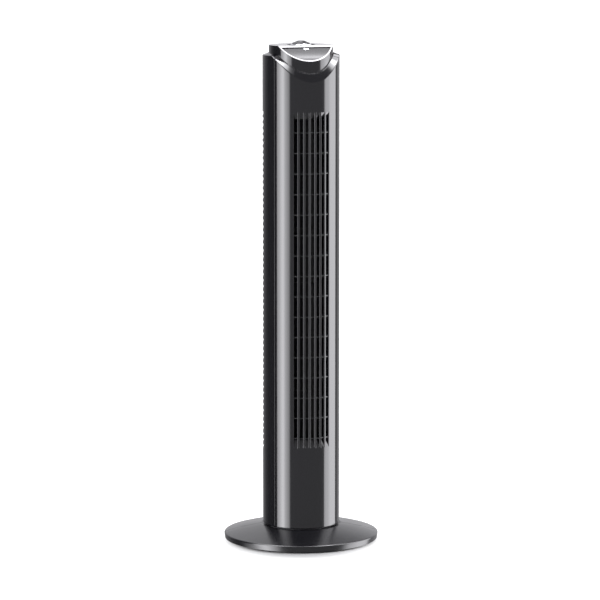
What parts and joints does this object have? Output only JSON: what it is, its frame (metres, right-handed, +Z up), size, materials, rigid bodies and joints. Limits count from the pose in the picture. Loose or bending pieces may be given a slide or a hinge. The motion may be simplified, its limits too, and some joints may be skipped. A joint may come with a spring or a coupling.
{
  "type": "tower fan",
  "caption": "Upright tower fan: round base, swinging cylindrical column with slotted front grille, louvred rear intake, cross-flow wheel and one rotary control on top.",
  "frame": {"origin": "centre of the base, on the surface the fan stands on", "axes": "+Z up along the column's axis; the column's front grille faces -Y; the base's own front is turned 15 degrees towards -X"},
  "size_m": [0.2276, 0.2276, 0.7385],
  "materials": {
    "casing_gloss": "high gloss charcoal",
    "panel_gloss": "high gloss charcoal",
    "knob_dark": "gloss",
    "knob_silver": "satin silver",
    "dial_dark": "satin black",
    "inner_plastic": "matte dark grey",
    "duct_plastic": "matte black",
    "wheel_plastic": "satin black",
    "white_plastic": "natural white",
    "rubber": "matte",
    "screw_steel": "zinc plated",
    "steel": "ground",
    "motor_steel": "varnished laminations",
    "copper": "enamelled copper wire",
    "bronze": "sintered bronze"
  },
  "bodies": {
    "base": {"base_front_half": "casing_gloss", "base_rear_half": "casing_gloss", "swivel_plate": "inner_plastic", "slide_ring": "white_plastic", "retaining_washer": "steel", "pivot_screw": "screw_steel", "foot_front_left": "rubber", "foot_front_right": "rubber", "foot_rear_left": "rubber", "foot_rear_right": "rubber", "base_screw_front_left": "screw_steel", "base_screw_front_right": "screw_steel", "base_screw_rear_left": "screw_steel", "base_screw_rear_right": "screw_steel"},
    "tower": {"front_shell": "casing_gloss", "rear_shell": "casing_gloss", "top_cap": "casing_gloss", "control_panel": "panel_gloss", "dial_bezel": "dial_dark", "bottom_plate": "inner_plastic", "motor_bracket": "inner_plastic", "upper_bracket": "inner_plastic", "capacitor": "inner_plastic", "air_guide": "duct_plastic", "air_tongue": "duct_plastic", "rotary_switch": "white_plastic", "cord_gland": "rubber", "bush_seat": "rubber", "bottom_plate_screw_front_left": "screw_steel", "bottom_plate_screw_front_right": "screw_steel", "bottom_plate_screw_rear": "screw_steel", "shell_screw_lower_left": "screw_steel", "shell_screw_lower_right": "screw_steel", "shell_screw_upper_left": "screw_steel", "shell_screw_upper_right": "screw_steel", "motor_screw_left": "screw_steel", "motor_screw_right": "screw_steel", "swing_motor_screw_left": "screw_steel", "swing_motor_screw_right": "screw_steel", "switch_nut": "screw_steel", "swing_motor": "steel", "motor_end_cap_upper": "motor_steel", "motor_end_cap_lower": "motor_steel", "motor_stator": "motor_steel", "motor_winding_upper": "copper", "motor_winding_lower": "copper", "pivot_bush": "bronze", "motor_bush_upper": "bronze", "motor_bush_lower": "bronze", "upper_bush": "bronze"},
    "rotor": {"impeller": "wheel_plastic", "drive_shaft": "steel", "motor_rotor": "motor_steel", "coupling_hub": "rubber", "stub_shaft": "steel"},
    "knob": {"speed_knob": "knob_dark", "knob_skirt": "knob_silver", "switch_spindle": "steel"},
    "crank": {"crank_arm": "white_plastic", "crank_shaft": "steel"}
  },
  "joints": [
    {"name": "tower_swing", "type": "hinge", "parent": "base", "child": "tower", "pos_m": [0, 0, 0.02], "axis": [0, 0, 1], "range_deg": [-50, 20]},
    {"name": "impeller_spin", "type": "hinge", "parent": "tower", "child": "rotor", "pos_m": [0, 0.008, 0.4], "axis": [0, 0, 1], "continuous": true},
    {"name": "knob_turn", "type": "hinge", "parent": "tower", "child": "knob", "pos_m": [0, 0, 0.735], "axis": [0, 0, 1], "range_deg": [-135, 135]},
    {"name": "crank_turn", "type": "hinge", "parent": "tower", "child": "crank", "pos_m": [0, 0.026, 0.022], "axis": [0, 0, 1], "range_deg": [-71.5, 178.5]}
  ],
  "couplings": [
    {"joint": "crank_turn", "follows": "tower_swing", "ratio": -3.56}
  ]
}
